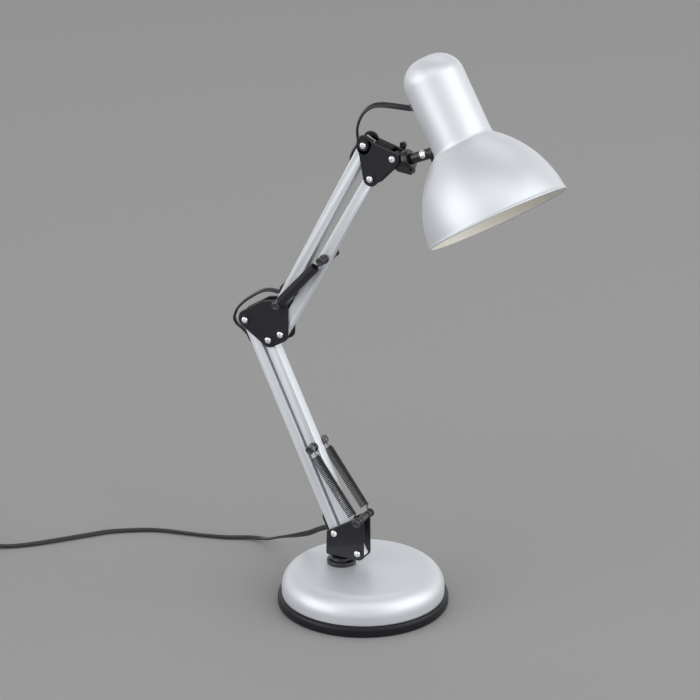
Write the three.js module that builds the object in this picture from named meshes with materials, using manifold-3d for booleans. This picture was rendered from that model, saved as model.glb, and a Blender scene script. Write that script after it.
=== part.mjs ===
// Architect's desk lamp on a weighted round base: two parallelogram arms of U-channel, tension springs,
// a tilting and turning bell shade, the lead through the arms and the mains cord on the table.
// Millimetres, +Z up. Origin: centre of the base's underside. The arms move in the XZ plane (y = 0).
import * as THREE from 'three';
import { mergeVertices } from 'three/addons/utils/BufferGeometryUtils.js';
import Module from 'manifold-3d';

const wasm = await Module();
wasm.setup();

// ---- driving dimensions ----
const GAP = 0.3; // between pieces that rest on or sit in each other
const BASE_R = 80, RING_H = 10.8, COVER_R = 76.3, COVER_TOP = 34.8, COVER_EDGE = 18.4, COVER_WALL = 1.2;
const SWIVEL_X = -22.7; // the swivel stands off the base's centre

// Pivots [x, z]: S in the bracket, E in the elbow, H in the head; 1 and 4 carry the rear bars.
const S1 = [-26.2, 66.8], S2 = [-2.0, 51.0];
const LOWER = [-92.3, 197.3];
const E1 = [S1[0] + LOWER[0], S1[1] + LOWER[1]], E2 = [S2[0] + LOWER[0], S2[1] + LOWER[1]];
const E3 = [-81.7, 256.0], E4 = [-82.7, 286.0];
const H1 = [3.5, 450.7], H2 = [32.2, 442.3], H3 = [10.2, 420.5];

const BAR_W = 10.2, BAR_D = 10.6, BAR_T = 1.0, BAR_OVER = 4.6; // channel: in plane, deep, wall, past the pivot
const PLATE_IN = BAR_D / 2 + 0.4, PLATE_T = 2.0, PLATE_OUT = PLATE_IN + PLATE_T;
const BOLT_R = 1.75, HOLE_R = 1.85, HEAD_R = 3.3;
const SPRING_Y = 12.6; // the springs run outside the plates
const LEAD_W = 5.2, LEAD_T = 2.6; // flat two-core lead

const BRACKET_POST = [-0.2, 84.5];
const LOWER_POST = 108.8, UPPER_POST = 92.5; // along the front bars, from their lower pivots

const STEM_ANGLE = 23.7; // degrees above horizontal
const JOIN = [97.3, 464.6]; // where the stem's axis meets the shade's axis
const SHADE_DIR = new THREE.Vector3(0.5397, -0.1485, -0.829).normalize();
const MOUTH = 73.1, CAP = 82.2, NECK_R = 27.7, SHADE_T = 0.9; // from JOIN to the mouth and to the cap's top

// ---- helpers ----
const slots = {
  silver: 0xc9ced4, black: 0x2b2b30, plate: 0x303036, zinc: 0xe0e2e6, spring: 0x26262a, rubber: 0x222226,
  iron: 0x4a4a4c, felt: 0x18181a, pvc: 0x1e1e22, white: 0xf1ead9, porcelain: 0xe9e6df,
};
const lamp = new THREE.Group();

function solid(geometry) {
  let g = geometry.clone();
  g.deleteAttribute('normal');
  g.deleteAttribute('uv');
  g = mergeVertices(g, 1e-4);
  const index = [];
  for (let i = 0; i < g.index.count; i += 3) {
    const [a, b, c] = [0, 1, 2].map((k) => g.index.getX(i + k));
    if (a !== b && b !== c && c !== a) index.push(a, b, c);
  }
  const make = (tris) => new wasm.Manifold(new wasm.Mesh({
    numProp: 3, vertProperties: Float32Array.from(g.attributes.position.array), triVerts: Uint32Array.from(tris),
  }));
  const m = make(index);
  if (m.volume() > 0) return m;
  return make(index.flatMap((v, i) => (i % 3 === 1 ? index[i + 1] : i % 3 === 2 ? index[i - 1] : v)));
}

function add(name, body, slot) {
  const out = body.getMesh();
  const g = new THREE.BufferGeometry();
  const pos = new Float32Array(out.numVert * 3);
  for (let i = 0; i < out.numVert; i++) {
    for (let k = 0; k < 3; k++) pos[3 * i + k] = out.vertProperties[i * out.numProp + k];
  }
  g.setAttribute('position', new THREE.BufferAttribute(pos, 3));
  g.setIndex(Array.from(out.triVerts));
  g.computeVertexNormals();
  const mesh = new THREE.Mesh(g, new THREE.MeshStandardMaterial({ color: slots[slot], name: slot }));
  mesh.name = name;
  lamp.add(mesh);
}

const union = (parts) => parts.reduce((a, b) => a.add(b));
const cut = (body, tools) => tools.reduce((a, b) => a.subtract(b), body);
const at = (g, x, y, z) => g.translate(x, y, z);

// Turned about the world's Y axis: profile of [radius, y].
const turnedY = (profile, seg = 18) => new THREE.LatheGeometry(profile.map(([r, y]) => new THREE.Vector2(r, y)), seg);
// Turned about the world's Z axis: profile of [radius, z].
const turnedZ = (profile, seg = 18) => turnedY(profile, seg).rotateX(Math.PI / 2);
const rodY = (r, y0, y1, [x, z], seg = 16) => at(turnedY([[0, y0], [r, y0], [r, y1], [0, y1]], seg), x, 0, z);
const box = (x0, x1, y0, y1, z0, z1) =>
  at(new THREE.BoxGeometry(x1 - x0, y1 - y0, z1 - z0), (x0 + x1) / 2, (y0 + y1) / 2, (z0 + z1) / 2);

// An outline in the XZ plane, [x, z] points, as a slab from y0 to y1.
function slab(points, y0, y1) {
  const shape = new THREE.Shape(points.map(([x, z]) => new THREE.Vector2(x, z)));
  const g = new THREE.ExtrudeGeometry(shape, { depth: y1 - y0, bevelEnabled: false });
  return at(g.rotateX(Math.PI / 2), 0, y1, 0);
}

// The outline round a set of circles [x, z, r], as a rubber band round them would lie.
function band(circles, seg = 20) {
  const pts = circles.flatMap(([x, z, r]) => Array.from({ length: seg }, (_, i) => {
    const a = (2 * Math.PI * i) / seg;
    return [x + r * Math.cos(a), z + r * Math.sin(a)];
  }));
  pts.sort((p, q) => p[0] - q[0] || p[1] - q[1]);
  const turn = (o, a, b) => (a[0] - o[0]) * (b[1] - o[1]) - (a[1] - o[1]) * (b[0] - o[0]);
  const half = (list) => list.reduce((h, p) => {
    while (h.length > 1 && turn(h[h.length - 2], h[h.length - 1], p) <= 1e-9) h.pop();
    return [...h, p];
  }, []);
  return [...half(pts).slice(0, -1), ...half([...pts].reverse()).slice(0, -1)];
}

// A round or flat section swept along points in space.
function sweep(points, width, thick, sides = 8, steps = 40, bend = 'centripetal') {
  const path = new THREE.CatmullRomCurve3(points.map((p) => new THREE.Vector3(...p)), false, bend);
  const ring = Array.from({ length: sides }, (_, i) => {
    const a = (2 * Math.PI * (i + 0.5)) / sides;
    return new THREE.Vector2((width / 2) * Math.cos(a), (thick / 2) * Math.sin(a));
  });
  return new THREE.ExtrudeGeometry(new THREE.Shape(ring), { steps, extrudePath: path, bevelEnabled: false });
}

// ---- base ----
function coverProfile(inset) {
  const r = COVER_EDGE - inset, top = COVER_TOP - inset, edge = COVER_R - inset;
  return Array.from({ length: 7 }, (_, i) => {
    const a = (Math.PI / 2) * (i / 6);
    return [edge - r + r * Math.cos(a), top - r + r * Math.sin(a)];
  });
}

function makeBase() {
  add('base_pad', solid(turnedZ([[0, 0], [72.5, 0], [72.5, 1.6], [0, 1.6]], 40)), 'felt');
  add('base_weight', solid(turnedZ([[0, 1.9], [64, 1.9], [66, 3.9], [66, 16], [64, 18], [0, 18]], 32)), 'iron');
  const outer = coverProfile(0), inner = coverProfile(COVER_WALL);
  const shell = solid(turnedZ([
    [COVER_R - COVER_WALL, 5.2], [COVER_R, 5.2], ...outer, [0, COVER_TOP],
    [0, COVER_TOP - COVER_WALL], ...inner.reverse().filter((_, i) => i % 2 === 0), [COVER_R - COVER_WALL, 5.2],
  ], 52));
  const hole = solid(at(turnedZ([[0, 25], [5.2, 25], [5.2, 40], [0, 40]], 20), SWIVEL_X, 0, 0));
  add('base_cover', cut(shell, [hole]), 'silver');
  add('base_ring', solid(turnedZ([
    [72.8, 0], [79, 0], [BASE_R, 1.0], [BASE_R, 7.0], [78.9, 9.3], [76.6, RING_H],
    [COVER_R + GAP, 4.9], [72.8, 4.9], [72.8, 0],
  ], 56)), 'rubber');
  add('swivel_collar', solid(at(turnedZ([
    [5.2, COVER_TOP + GAP], [13.2, COVER_TOP + GAP], [13.8, 35.9], [13.8, 38.8], [13.2, 39.4],
    [10, 39.4], [10, 42.2], [5.2, 42.2], [5.2, COVER_TOP + GAP],
  ], 32), SWIVEL_X, 0, 0)), 'black');
}

// ---- bars, inserts, bolts ----
const length = (a, b) => Math.hypot(b[0] - a[0], b[1] - a[1]);
const mid = (a, b, s) => a.map((v, i) => v + ((b[i] - v) * s) / length(a, b));

function channel(from, to, shift, holes) {
  const L = length(from, to), w = BAR_W / 2, d = BAR_D / 2;
  const body = cut(solid(at(box(-w, w, -d, d, -BAR_OVER, L + BAR_OVER), shift, 0, 0)), [
    solid(at(box(-w - 1, w - BAR_T, -d + BAR_T, d - BAR_T, -BAR_OVER - 1, L + BAR_OVER + 1), shift, 0, 0)),
    ...holes.map(([z, r]) => solid(rodY(r, -9, 9, [0, z], 14))),
  ]);
  return moved(body, from, to);
}

// A solid moved from a bar's own frame to the lamp's.
function moved(body, from, to) {
  const a = Math.atan2(to[0] - from[0], to[1] - from[1]), c = Math.cos(a), s = Math.sin(a);
  return body.transform([c, 0, -s, 0, 0, 1, 0, 0, s, 0, c, 0, from[0], 0, from[1], 1]);
}

// A moulded block that fills a bar round a pivot, `back` from the bar's open side.
function insert(from, to, shift, z0, z1, pivot, back, holeR = HOLE_R) {
  const w = BAR_W / 2, d = BAR_D / 2 - BAR_T - GAP;
  const block = solid(at(box(-w + back, w - BAR_T - GAP, -d, d, z0, z1), shift, 0, 0));
  return moved(holeR ? cut(block, [solid(rodY(holeR, -9, 9, [0, pivot], 14))]) : block, from, to);
}

function bolt(name, [x, z], heads = PLATE_OUT + 0.6 + GAP) {
  const dome = [[0, -heads - 1.8], [1.6, -heads - 1.65], [2.7, -heads - 1.1], [HEAD_R, -heads - 0.3], [HEAD_R, -heads]];
  const body = solid(turnedY([
    ...dome, [BOLT_R, -heads], [BOLT_R, heads], [3.1, heads], [3.1, heads + 1.6],
    [2.2, heads + 2.4], [0, heads + 2.6],
  ], 16));
  const slot = (a) => solid(new THREE.BoxGeometry(3.4, 1.8, 0.7).rotateY(a).translate(0, -heads - 1.7, 0));
  add(name, cut(body, [slot(0.5), slot(0.5 + Math.PI / 2)]).translate([x, 0, z]), 'zinc');
}

// A post across a bar or a bracket, with a grooved knob for a spring's hook at each end.
function post([x, z], sleeveR, sleeveY) {
  const side = (k) => [
    [sleeveR, sleeveY], [BOLT_R, sleeveY], [BOLT_R, 8.6], [3.3, 8.6], [3.9, 9.2], [3.9, 10.6], [2.7, 11.6],
    [2.7, 13.6], [3.9, 14.6], [3.9, 15.4], [3.0, 16.2], [0, 16.4],
  ].map(([r, y]) => [r, k * y]);
  return solid(at(turnedY([...side(-1).reverse(), ...side(1)], 12), x, 0, z));
}

function platePair(name, outlines, lobes, holes) {
  for (const [side, y0, y1] of [['front', -PLATE_OUT, -PLATE_IN], ['back', PLATE_IN, PLATE_OUT]]) {
    const bodies = outlines.map((o) => solid(slab(band(o), y0, y1)));
    const boss = lobes.map(([x, z, r]) => (y0 < 0 ? rodY(r, y0 - 0.6, y1, [x, z], 16) : rodY(r, y0, y1 + 0.6, [x, z], 16)));
    const drilled = cut(union([...bodies, ...boss.map(solid)]),
      holes.map(([x, z]) => solid(rodY(HOLE_R, -20, 20, [x, z], 14))));
    add(`${name}_${side}`, drilled, 'plate');
  }
}

// ---- bracket on the swivel ----
function makeBracket() {
  platePair('bracket_plate', [[
    [-33.2, 45.8, 2.0], [-1.8, 49.8, 6.1], [0.4, 82.4, 3.6], [-0.4, 84.2, 3.8], [-32.2, 66.3, 2.4],
  ]], [[...S1, 4.2], [...S2, 4.6]], [S1, S2, BRACKET_POST]);
  const inner = PLATE_IN - GAP;
  const foot = union([
    solid(box(-35, -10.8, -inner, inner, 42.6, 50)),
    solid(box(-35, -33.2, -inner, inner, 42.6, 57)),
    solid(at(turnedZ([
      [0, 24], [4.6, 24], [4.6, 26], [7.6, 26], [7.6, 31], [11, 31], [11, 33.2], [4.6, 33.2], [4.6, 43], [0, 43],
    ], 20), SWIVEL_X, 0, 0)), // spindle with its nut and washer under the cover
  ]);
  add('bracket_foot', foot, 'plate');
  add('bracket_post', post(BRACKET_POST, 3.2, PLATE_IN - GAP), 'black');
  bolt('bolt_s1', S1);
  bolt('bolt_s2', S2);
}

// ---- arms ----
function makeArm(name, rear, front, shift, postAt, looseHole) {
  const Lr = length(...rear), Lf = length(...front);
  add(`${name}_rear_bar`, channel(...rear, 0, [[0, HOLE_R], [Lr, HOLE_R]]), 'silver');
  add(`${name}_rear_insert_low`, insert(...rear, 0, -4.2, 9, 0, 1.5), 'black');
  add(`${name}_rear_insert_high`, insert(...rear, 0, Lr - 9, Lr + 4.2, Lr, 1.5), 'black');
  add(`${name}_front_bar`, channel(...front, shift, [[0, HOLE_R], [postAt, HOLE_R], [Lf, looseHole]]), 'silver');
  add(`${name}_front_insert_low`, insert(...front, shift, -4.2, 11, 0, 0.3), 'black');
  add(`${name}_front_insert_high`, insert(...front, shift, Lf - 9, Lf + 4.2, Lf, 0.3, looseHole), 'black');
  const block = insert(...front, shift, postAt - 5, postAt + 5, postAt, 0.3, 0);
  add(`${name}_post`, block.add(post(mid(...front, postAt), BOLT_R, 4)), 'black');
}

// A tension spring between two posts: coil body with a hooked wire at each end.
function spring(name, low, high, r, y, coilLow, coilHigh) {
  const L = length(low, high);
  const coil = solid(turnedZ([[0, coilLow], [r, coilLow], [r, L - coilHigh], [0, L - coilHigh]], 14));
  const hook = (z0, z1, s) => solid(sweep([
    [0, 0, z0], [1.7, 0, z1 - s * 5.8], [3.3, 0, z1 - s * 3], [3.85, 0, z1], [2.75, 0, z1 + s * 2.75],
    [0, 0, z1 + s * 3.9],
  ], 1.3, 1.3, 6, 10));
  const body = union([coil, hook(coilLow + 1, 0, -1), hook(L - coilHigh - 1, L, 1)]);
  add(name, moved(body, low, high).translate([0, y, 0]), 'spring');
}

// ---- elbow and head ----
function makeElbow() {
  platePair('elbow_plate', [
    [[...E1, 7.4], [-118.0, 265.9, 7.6], [-97, 277, 9.5], [-80.8, 283.2, 6.6], [...E3, 7.8], [...E2, 7.6]],
  ], [[...E1, 5.6], [...E2, 5.2], [...E3, 5.2]], [E1, E2, E3, E4]);
  ['e1', 'e2', 'e3'].forEach((n, i) => bolt(`bolt_${n}`, [E1, E2, E3][i]));
  add('elbow_post', post(E4, BOLT_R, PLATE_IN - GAP), 'black');
}

function makeHead() {
  platePair('head_plate', [
    [[...H1, 6.4], [...H2, 6.6], [...H3, 7.4]],
    [[4.2, 452.6, 7.8], [3.2, 448.5, 7.0]],
  ], [[...H1, 5.4], [...H3, 5.4]], [H1, H2, H3]);
  const dx = H2[0] - H1[0], dz = H2[1] - H1[1], d = Math.hypot(dx, dz);
  const top = (s, h) => [H1[0] + (dx * s) / d - (dz * h) / d, H1[1] + (dz * s) / d + (dx * h) / d];
  const inner = PLATE_IN - GAP;
  const rib = [];
  for (let s = 9; s < 24.9; s += 3.2) rib.push(solid(slab([top(s, 6.4), top(s + 1.4, 6.4), top(s + 1.4, 7.0), top(s, 7.0)], -inner, inner)));
  add('head_web', union([solid(slab([top(8.6, 5.3), top(25, 5.3), top(25, 6.5), top(8.6, 6.5)], -inner, inner)), ...rib]), 'plate');
  bolt('bolt_h1', H1);
  bolt('bolt_h3', H3);
  const heads = PLATE_OUT + 0.6 + GAP;
  add('bolt_h2', cut(solid(turnedY([
    [0, -heads - 1.8], [1.6, -heads - 1.65], [2.7, -heads - 1.1], [HEAD_R, -heads - 0.3], [HEAD_R, -heads],
    [BOLT_R, -heads], [BOLT_R, 17.5], [0, 17.5],
  ], 16)), [0.5, 0.5 + Math.PI / 2].map((a) => solid(
    new THREE.BoxGeometry(3.4, 1.8, 0.7).rotateY(a).translate(0, -heads - 1.7, 0)))).translate([H2[0], 0, H2[1]]), 'zinc');
  const hub = solid(turnedY([
    [2.0, 8.0], [4.6, 8.0], [4.6, 12], [3.9, 16], [2.0, 16], [2.0, 8.0],
  ], 18));
  const wing = (k) => solid(slab(band([[k * 1.2, k * 3.6, 2.2], [k * 1.6, k * 8.4, 3.2]], 16), 9.4, 12.4));
  const bore = solid(rodY(2.0, 5, 20, [0, 0], 14));
  add('wing_nut', cut(union([hub, wing(1), wing(-1)]), [bore]).translate([H2[0], 0, H2[1]]), 'black');
}

// ---- tilt knuckle, stem and shade ----
const STEM = new THREE.Vector3(Math.cos((STEM_ANGLE * Math.PI) / 180), 0, Math.sin((STEM_ANGLE * Math.PI) / 180));
const stemPoint = (back) => [JOIN[0] - STEM.x * back, JOIN[1] - STEM.z * back];
// Turned about the stem's axis: profile of [radius, distance back from JOIN].
function onStem(profile, seg) {
  const g = turnedY(profile.map(([r, s]) => [r, -s]), seg);
  return at(g.rotateZ(-Math.PI / 2).rotateY((-STEM_ANGLE * Math.PI) / 180), JOIN[0], 0, JOIN[1]);
}

function makeKnuckle() {
  const inner = BAR_D / 2;
  const hubBack = 60.9, hubFront = 54.3;
  const [hx, hz] = stemPoint((hubBack + hubFront) / 2);
  const body = cut(union([
    solid(rodY(5.0, -inner, inner, H2, 22)),
    solid(slab(band([[...H2, 4.6], [hx - 1.5, hz - 0.8, 5.0]], 16), -inner, inner)),
    solid(onStem([[0, hubFront], [8.2, hubFront], [9.0, hubFront + 0.8], [9.0, hubBack - 0.8], [8.2, hubBack], [0, hubBack]], 26)),
    solid(slab([[33.5, 436.0], [46.0, 433.6], [49.6, 432.6], [49.0, 428.8], [36.0, 430.2], [31.6, 432.4]], -4.4, 4.4)),
  ]), [
    solid(rodY(HOLE_R, -20, 20, H2, 14)),
    solid(onStem([[0, hubFront - 1], [4.3, hubFront - 1], [4.3, hubBack - 1.6], [0, hubBack - 1.6]], 20)),
  ]);
  add('tilt_knuckle', body, 'black');
}

// The shade's own frame: z from the mouth up to the cap through JOIN, x towards the stem.
const shadeZ = SHADE_DIR.clone().negate();
const shadeX = STEM.clone().negate();
shadeX.addScaledVector(shadeZ, -shadeX.dot(shadeZ)).normalize();
const shadeY = new THREE.Vector3().crossVectors(shadeZ, shadeX);
const shadeFrame = new THREE.Matrix4().makeBasis(shadeX, shadeY, shadeZ).setPosition(JOIN[0], 0, JOIN[1]);
const inShade = (g) => g.applyMatrix4(shadeFrame);

// The bell is one arc from the rim up to its foot at the neck; its centre lies a little below the mouth.
const RIM_R = 65.4, BELL_R = 98.7, BELL_DROP = 5.7, BELL_FOOT = 71.4;
const bellAngle = (height) => Math.asin((height + BELL_DROP) / BELL_R);
const BELL_STEPS = 9;
// Outside of the bell, [radius, height over the mouth], from the rim up.
const BELL = Array.from({ length: BELL_STEPS + 1 }, (_, i) => {
  const rim = bellAngle(0), a = rim + ((bellAngle(BELL_FOOT) - rim) * i) / BELL_STEPS;
  return [RIM_R + BELL_R * (Math.cos(a) - Math.cos(rim)), BELL_R * Math.sin(a) - BELL_DROP];
});
function shadeProfile(inset) {
  const bell = BELL.map(([r, h]) => [r - inset, h - MOUTH + (h > 1 ? inset * 0.35 : 0)]);
  const edge = 22 - inset, top = CAP - inset, r0 = NECK_R - 22;
  const cap = Array.from({ length: 6 }, (_, i) => {
    const a = (Math.PI / 2) * (i / 5);
    return [r0 + edge * Math.cos(a), top - edge + edge * Math.sin(a)];
  });
  return [...bell, [NECK_R - inset, 76.5 - MOUTH + inset * 0.35], ...cap, [0, top]];
}

function makeShade() {
  const seg = 40;
  const outer = shadeProfile(0), inner = shadeProfile(SHADE_T);
  const rim = [[65.9, -MOUTH + 1.0], [66.2, -MOUTH + 0.3], [65.9, -MOUTH - 0.4], [65.0, -MOUTH - 0.5]];
  const wall = solid(inShade(turnedZ([...rim.reverse(), ...outer.slice(1), ...inner.reverse(), rim[0]], seg)));
  const leadHole = solid(inShade(turnedY([[0, 20], [3.7, 20], [3.7, 40], [0, 40]], 16).rotateZ(-Math.PI / 2)
    .translate(0, 0, GROMMET_Z)));
  const screwHole = solid(onStem([[0, 20], [2.3, 20], [2.3, 40], [0, 40]], 12));
  add('shade', cut(wall, [leadHole, screwHole]), 'silver');

  add('stem', cut(solid(onStem([[0, 59.0], [4.0, 59.0], [4.0, 54.1], [5.0, 53.9], [5.0, 33.2], [0, 33.2]], 20)), [
    solid(setScrew([[0, 2], [1.8, 2], [1.8, 9], [0, 9]], 12)),
    solid(onStem([[0, 31], [1.9, 31], [1.9, 44], [0, 44]], 12)),
  ]), 'black');
  add('stem_screw', cut(solid(setScrew([
    [0, 2.4], [1.5, 2.4], [1.5, 5.3], [3.1, 5.3], [3.1, 6.0], [2.2, 7.0], [0, 7.2],
  ], 16)), [solid(setScrew([[0, 6.6], [0.5, 6.6], [0.5, 8], [0, 8]], 6))]), 'zinc');
  const clear = solid(inShade(turnedZ([[0, -MOUTH], ...shadeProfile(-GAP).slice(1)], seg)));
  const blank = solid(inShade(box(26, 32.6, -7.5, 7.5, -9, 8.5)));
  const keep = solid(onStem([[0, 33.0 - GAP], [14, 33.0 - GAP], [14, 20], [0, 20]], 24));
  const stud = solid(onStem([[0, 24.6], [3.2, 24.9], [3.2, 26.3], [1.6, 26.3], [1.6, 42], [0, 42]], 16));
  add('shade_saddle', cut(blank.intersect(keep), [clear]).add(stud), 'black');

  add('grommet', solid(inShade(turnedY([
    [2.9, 25.1], [4.6, 25.1], [4.6, 26.0], [3.4, 26.0], [3.4, 28.3], [5.8, 28.3], [5.8, 29.6], [4.2, 31.4],
    [2.9, 31.4], [2.9, 25.1],
  ], 18).rotateZ(-Math.PI / 2).translate(0, 0, GROMMET_Z))), 'black');

  const top = CAP - SHADE_T;
  const holder = union([
    solid(inShade(turnedZ([[0, top - 14], [9, top - 14], [9, top - 1], [0, top - 1]], 20))),
    solid(inShade(turnedZ([[0, 24], [15.6, 24], [15.6, top - 22], [12, top - 13], [0, top - 13]], 28))),
  ]);
  add('lampholder', cut(holder, [solid(inShade(turnedZ([[0, 20], [13.3, 20], [13.3, 50], [0, 50]], 24)))]), 'porcelain');
  add('lampholder_ring', solid(inShade(turnedZ([
    [16.0, 30], [21.5, 30], [21.5, 33], [17.6, 33], [17.6, 40], [16.0, 40], [16.0, 30],
  ], 28))), 'porcelain');
}
const GROMMET_Z = 48.6;
// The stem's set screw points to the front, turned with the shade.
function setScrew(profile, seg) {
  const g = turnedY(profile.map(([r, y]) => [r, -y]), seg).rotateX(-0.3);
  return at(g.rotateY((-STEM_ANGLE * Math.PI) / 180), JOIN[0] - STEM.x * 41.5, 0, JOIN[1] - STEM.z * 41.5);
}

// ---- lead through the arms ----
function makeLeads() {
  const bar = (from, to, x, z) => {
    const L = length(from, to), u = [(to[0] - from[0]) / L, (to[1] - from[1]) / L];
    return [from[0] + u[1] * x + u[0] * z, 0, from[1] - u[0] * x + u[1] * z];
  };
  const inBar = (from, to, bottom, top) => {
    const L = length(from, to);
    return [
      ...bottom, bar(from, to, -5.2, 2), bar(from, to, -5.2, 10), bar(from, to, -3.6, 20), bar(from, to, -1.6, 32),
      bar(from, to, -1.6, L / 2), bar(from, to, -1.6, L - 32), bar(from, to, -3.6, L - 20),
      bar(from, to, -5.2, L - 10), bar(from, to, -5.2, L - 2), ...top,
    ];
  };
  const loop = [[-132.5, 0, 258.5], [-133.5, 0, 264.5], [-130.5, 0, 271], [-123.5, 0, 279], [-114.2, 0, 286.7]];
  const loopEnd = [[-113.0, 0, 287.6], [-103.5, 0, 293], [-96.5, 0, 294.5]];
  add('lead_lower', solid(sweep(inBar(S1, E1, [], loop), LEAD_W, LEAD_T, 8, 50)), 'pvc');
  add('lead_upper', solid(sweep(inBar(E4, H1, loopEnd, [[-5.9, 0, 453.2]]), LEAD_W, LEAD_T, 8, 44)), 'pvc');
  const end = new THREE.Vector3(24, 0, GROMMET_Z).applyMatrix4(shadeFrame);
  const near = new THREE.Vector3(40, 0, GROMMET_Z - 1).applyMatrix4(shadeFrame);
  add('lead_head', solid(sweep([
    [-6.0, 0, 454.6], [-6.0, 0, 463], [-3.5, 0, 472.5], [1.5, 0, 480.5], [9, 0, 486], [19, 0, 488.5],
    [near.x - 6, near.y, near.z + 0.4], near.toArray(), end.toArray(),
  ], 4.2, 4.2, 8, 34)), 'pvc');
}

// ---- mains cord ----
const SWITCH = [-404, -80], SWITCH_TURN = 0.59; // centre and heading from -X towards -Y
const ROCKER_TILT = 0.122; // half of the rocker's travel
const COIL = [-480, -108];
function makeCord() {
  const tubeR = 1.9;
  const dir = [-Math.cos(SWITCH_TURN), -Math.sin(SWITCH_TURN)];
  const onSwitch = (s, z) => [SWITCH[0] + dir[0] * s, SWITCH[1] + dir[1] * s, z];
  const lead = [
    [-35.6, 0.2, 67.2], [-39, 0.8, 66.6], [-45, 3, 63.7], [-52, 7.5, 59], [-65, 16, 49.7], [-82, 28.5, 39],
    [-100, 41.5, 28.2], [-118, 54.5, 17.8], [-135, 66, 8.8], [-149, 74.4, 3.4], [-163, 69.5, 2.2],
    [-180, 62, 2.1], [-200, 57, 2.1], [-220, 52.5, 2.1], [-240, 48.5, 2.1], [-258, 42, 2.1], [-275, 31.5, 2.1],
    [-290, 20, 2.1], [-304, 4, 2.1], [-318, -12.5, 2.1], [-331, -27.5, 2.1], [-344, -41, 2.1], [-355, -50, 2.1],
    [-365, -56, 2.2], onSwitch(-37, 3.6), onSwitch(-30.6, 5.4),
  ];
  add('cord', solid(sweep(lead, 2 * tubeR, 2 * tubeR, 8, 56)), 'pvc');

  const turned = (g) => at(g.rotateZ(Math.PI + SWITCH_TURN), SWITCH[0], SWITCH[1], 0);
  const shell = new THREE.Shape(band([[-21, 0, 8.5], [21, 0, 8.5]], 20).map((p) => new THREE.Vector2(...p)));
  const shellBody = solid(turned(at(new THREE.ExtrudeGeometry(shell, { depth: 13, bevelEnabled: false }), 0, 0, 0.3)));
  const well = solid(turned(box(-9.4, 9.4, -5.3, 5.3, 6.0, 16)));
  const rocker = solid(turned(slab([[-8.2, -1], [8.2, -1], [8.6, 3.6], [0, 2.4], [-8.6, 3.6]], -5, 5)
    .rotateY(ROCKER_TILT).translate(0, 0, 10)));
  add('cord_switch', cut(shellBody, [well]), 'black');
  add('switch_rocker', rocker, 'black');

  // The wound rest of the cord, waisted where the tie holds it; the tie's own frame is radial.
  const section = (d) => band([[28.8, 6.2, 5.8 + d], [33.2, 6.2, 5.8 + d], [31.2, 9.4, 5.6 + d]], 9);
  const atTie = (g) => solid(at(g.rotateZ(0.9), ...COIL, 0));
  const hoop = (d, y) => atTie(slab(section(d), -y, y));
  const coil = solid(at(turnedZ([...section(0), section(0)[0]], 24), ...COIL, 0));
  const tail = solid(sweep([
    [COIL[0] + 4, COIL[1] + 35, 6], [COIL[0] - 8, COIL[1] + 43, 5], [-497, -52, 5.6], [-498, -40, 7],
    [-492, -32, 8.2], [-481.2, -29, 8.8],
  ], 2 * tubeR, 2 * tubeR, 8, 12));
  const link = solid(sweep([onSwitch(29.9, 5.6), onSwitch(36, 5), [COIL[0] + 40, COIL[1] + 6, 5],
    [COIL[0] + 34, COIL[1] - 4, 6]], 2 * tubeR, 2 * tubeR, 8, 8));
  add('cord_coil', cut(union([coil, tail, link]), [hoop(2, 2.4).subtract(hoop(-1.5, 3))]), 'pvc');
  add('cord_tie', hoop(0, 2.1).subtract(hoop(-1.2, 3)), 'pvc');
  // Turned about the plug's own axis, which lies along X: profile of [radius, distance from the cord's end].
  const onPlug = (profile, seg, wide, side) =>
    solid(at(turnedY(profile, seg).rotateZ(-Math.PI / 2).scale(1, wide, 1), -480, -29 + side, 8.8));
  const plug = union([
    onPlug([[0, 0], [3.4, 0], [4.0, 10], [7.6, 14], [8.2, 32], [7.4, 35], [0, 35]], 20, 1.6, 0),
    ...[-9.3, 9.3].map((d) => onPlug([[0, 33], [2, 33], [2, 52.5], [1.2, 54], [0, 54]], 10, 1, d)),
  ]);
  add('plug', plug, 'black');
}

makeBase();
makeBracket();
makeArm('lower', [S1, E1], [S2, E2], -2.0, LOWER_POST, 2.4);
makeArm('upper', [E4, H1], [E3, H3], -1.0, UPPER_POST, 3.2);
makeElbow();
makeHead();
makeKnuckle();
makeShade();
makeLeads();
makeCord();

for (const [side, y] of [['front', -SPRING_Y], ['back', SPRING_Y]]) {
  spring(`lower_spring_${side}`, BRACKET_POST, mid(S2, E2, LOWER_POST), 4.0, y, 8, 8.2);
  spring(`upper_spring_${side}`, E4, mid(E3, H3, UPPER_POST), 4.4, y, 5.5, 9);
}

export default lamp;
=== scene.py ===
import math

import bmesh
import bpy
import numpy as np
from mathutils import Matrix, Vector


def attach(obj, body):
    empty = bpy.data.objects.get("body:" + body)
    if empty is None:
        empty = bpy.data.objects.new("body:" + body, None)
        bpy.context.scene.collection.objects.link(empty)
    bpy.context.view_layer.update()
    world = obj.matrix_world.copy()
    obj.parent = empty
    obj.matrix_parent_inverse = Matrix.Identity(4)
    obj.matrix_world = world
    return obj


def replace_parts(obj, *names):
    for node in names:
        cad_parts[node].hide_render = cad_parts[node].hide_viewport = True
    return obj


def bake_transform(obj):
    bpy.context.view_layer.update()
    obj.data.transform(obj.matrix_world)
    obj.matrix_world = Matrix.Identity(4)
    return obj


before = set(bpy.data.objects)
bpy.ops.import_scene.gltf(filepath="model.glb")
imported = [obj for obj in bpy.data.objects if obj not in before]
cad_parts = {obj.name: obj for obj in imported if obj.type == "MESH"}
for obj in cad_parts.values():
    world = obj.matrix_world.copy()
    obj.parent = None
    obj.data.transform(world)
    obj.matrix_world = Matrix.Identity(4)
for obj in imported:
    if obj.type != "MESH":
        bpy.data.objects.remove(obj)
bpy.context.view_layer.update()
MM = 0.001

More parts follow.
